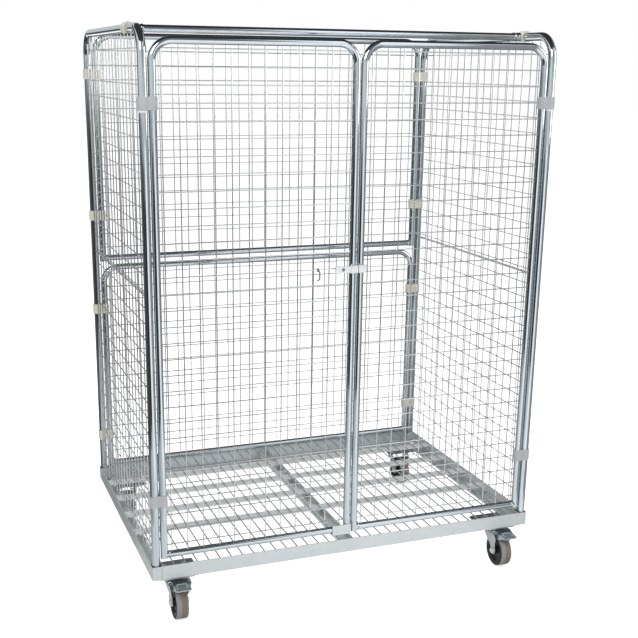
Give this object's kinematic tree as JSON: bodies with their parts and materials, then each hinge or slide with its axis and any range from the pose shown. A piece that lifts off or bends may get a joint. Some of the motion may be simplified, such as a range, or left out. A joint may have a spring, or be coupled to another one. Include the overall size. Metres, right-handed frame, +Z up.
{
  "type": "roll container",
  "caption": "Tall wheeled steel cage with mesh sides and back, hinged mesh doors with a slide latch, a wire deck and swivel castors with brakes.",
  "frame": {"origin": "on the floor, under the middle of the overall box", "axes": "+X to the right as seen from the doors, +Y from the doors to the back, +Z up"},
  "size_m": [1.307, 0.9497, 1.766],
  "materials": {
    "zinc_base": "satin zinc",
    "zinc_tube": "bright zinc",
    "zinc_wire": "bright zinc",
    "latch_steel": "satin zinc",
    "castor_steel": "zinc",
    "beige_plastic": "matte",
    "grey_plastic": "matte",
    "white_plastic": "matte",
    "hub_plastic": "matte",
    "tyre_rubber": "matte"
  },
  "bodies": {
    "frame": {"base_front_rail": "zinc_base", "base_rear_rail": "zinc_base", "base_left_rail": "zinc_base", "base_right_rail": "zinc_base", "corner_sockets": "zinc_base", "castor_gussets": "zinc_base", "base_centre_beam": "zinc_base", "deck_crossbars": "zinc_base", "deck_wires": "zinc_wire", "left_side_frame": "zinc_tube", "right_side_frame": "zinc_tube", "left_side_mesh": "zinc_wire", "right_side_mesh": "zinc_wire", "left_side_rod": "zinc_tube", "right_side_rod": "zinc_tube", "back_lower_frame": "zinc_tube", "back_upper_frame": "zinc_tube", "back_lower_mesh": "zinc_wire", "back_upper_mesh": "zinc_wire", "rear_clips_left": "beige_plastic", "rear_clips_right": "beige_plastic", "tie_bar": "zinc_tube", "tie_bar_hooks": "beige_plastic", "hinge_collars": "white_plastic", "front_left_castor_plate": "castor_steel", "front_right_castor_plate": "castor_steel", "rear_left_castor_plate": "castor_steel", "rear_right_castor_plate": "castor_steel"},
    "left_hinge": {"left_hinge_clips": "grey_plastic"},
    "right_hinge": {"right_hinge_clips": "grey_plastic"},
    "left_door": {"left_door_frame": "zinc_tube", "left_door_mesh": "zinc_wire", "latch_guide": "latch_steel", "door_stop": "zinc_base", "mesh_hook": "zinc_wire"},
    "right_door": {"right_door_frame": "zinc_tube", "right_door_mesh": "zinc_wire", "latch_keeper": "latch_steel"},
    "bolt": {"latch_bolt": "latch_steel"},
    "front_left_swivel": {"front_left_fork": "castor_steel", "front_left_axle": "castor_steel"},
    "front_left_wheel": {"front_left_hub": "hub_plastic", "front_left_tyre": "tyre_rubber"},
    "front_left_pedal": {"front_left_brake_pedal": "castor_steel"},
    "front_right_swivel": {"front_right_fork": "castor_steel", "front_right_axle": "castor_steel"},
    "front_right_wheel": {"front_right_hub": "hub_plastic", "front_right_tyre": "tyre_rubber"},
    "front_right_pedal": {"front_right_brake_pedal": "castor_steel"},
    "rear_left_swivel": {"rear_left_fork": "castor_steel", "rear_left_axle": "castor_steel"},
    "rear_left_wheel": {"rear_left_hub": "hub_plastic", "rear_left_tyre": "tyre_rubber"},
    "rear_right_swivel": {"rear_right_fork": "castor_steel", "rear_right_axle": "castor_steel"},
    "rear_right_wheel": {"rear_right_hub": "hub_plastic", "rear_right_tyre": "tyre_rubber"}
  },
  "joints": [
    {"name": "left_hinge_on_leg", "type": "hinge", "parent": "frame", "child": "left_hinge", "pos_m": [-0.635, -0.4104, 0], "axis": [0, 0, -1], "range_deg": [0, 180]},
    {"name": "left_door_in_hinge", "type": "hinge", "parent": "left_hinge", "child": "left_door", "pos_m": [-0.609, -0.4104, 0], "axis": [0, 0, -1], "range_deg": [0, 88]},
    {"name": "right_hinge_on_leg", "type": "hinge", "parent": "frame", "child": "right_hinge", "pos_m": [0.635, -0.4104, 0], "axis": [0, 0, 1], "range_deg": [0, 180]},
    {"name": "right_door_in_hinge", "type": "hinge", "parent": "right_hinge", "child": "right_door", "pos_m": [0.609, -0.4104, 0], "axis": [0, 0, 1], "range_deg": [0, 88]},
    {"name": "latch_bolt_slide", "type": "slide", "parent": "left_door", "child": "bolt", "axis": [1, 0, 0], "range_m": [0, 0.018]},
    {"name": "front_left_castor_swivel", "type": "hinge", "parent": "frame", "child": "front_left_swivel", "pos_m": [-0.565, -0.3734, 0.126], "axis": [0, 0, 1], "continuous": true},
    {"name": "front_left_wheel_spin", "type": "hinge", "parent": "front_left_swivel", "child": "front_left_wheel", "pos_m": [-0.565, -0.4024, 0.054], "axis": [1, 0, 0], "continuous": true},
    {"name": "front_left_brake_press", "type": "hinge", "parent": "front_left_swivel", "child": "front_left_pedal", "pos_m": [-0.565, -0.4114, 0.12], "axis": [1, 0, 0], "range_deg": [0, 14]},
    {"name": "front_right_castor_swivel", "type": "hinge", "parent": "frame", "child": "front_right_swivel", "pos_m": [0.565, -0.3734, 0.126], "axis": [0, 0, 1], "continuous": true},
    {"name": "front_right_wheel_spin", "type": "hinge", "parent": "front_right_swivel", "child": "front_right_wheel", "pos_m": [0.565, -0.4024, 0.054], "axis": [1, 0, 0], "continuous": true},
    {"name": "front_right_brake_press", "type": "hinge", "parent": "front_right_swivel", "child": "front_right_pedal", "pos_m": [0.565, -0.4114, 0.12], "axis": [1, 0, 0], "range_deg": [0, 14]},
    {"name": "rear_left_castor_swivel", "type": "hinge", "parent": "frame", "child": "rear_left_swivel", "pos_m": [-0.565, 0.4226, 0.126], "axis": [0, 0, 1], "continuous": true},
    {"name": "rear_left_wheel_spin", "type": "hinge", "parent": "rear_left_swivel", "child": "rear_left_wheel", "pos_m": [-0.565, 0.3936, 0.054], "axis": [1, 0, 0], "continuous": true},
    {"name": "rear_right_castor_swivel", "type": "hinge", "parent": "frame", "child": "rear_right_swivel", "pos_m": [0.565, 0.4226, 0.126], "axis": [0, 0, 1], "continuous": true},
    {"name": "rear_right_wheel_spin", "type": "hinge", "parent": "rear_right_swivel", "child": "rear_right_wheel", "pos_m": [0.565, 0.3936, 0.054], "axis": [1, 0, 0], "continuous": true}
  ]
}
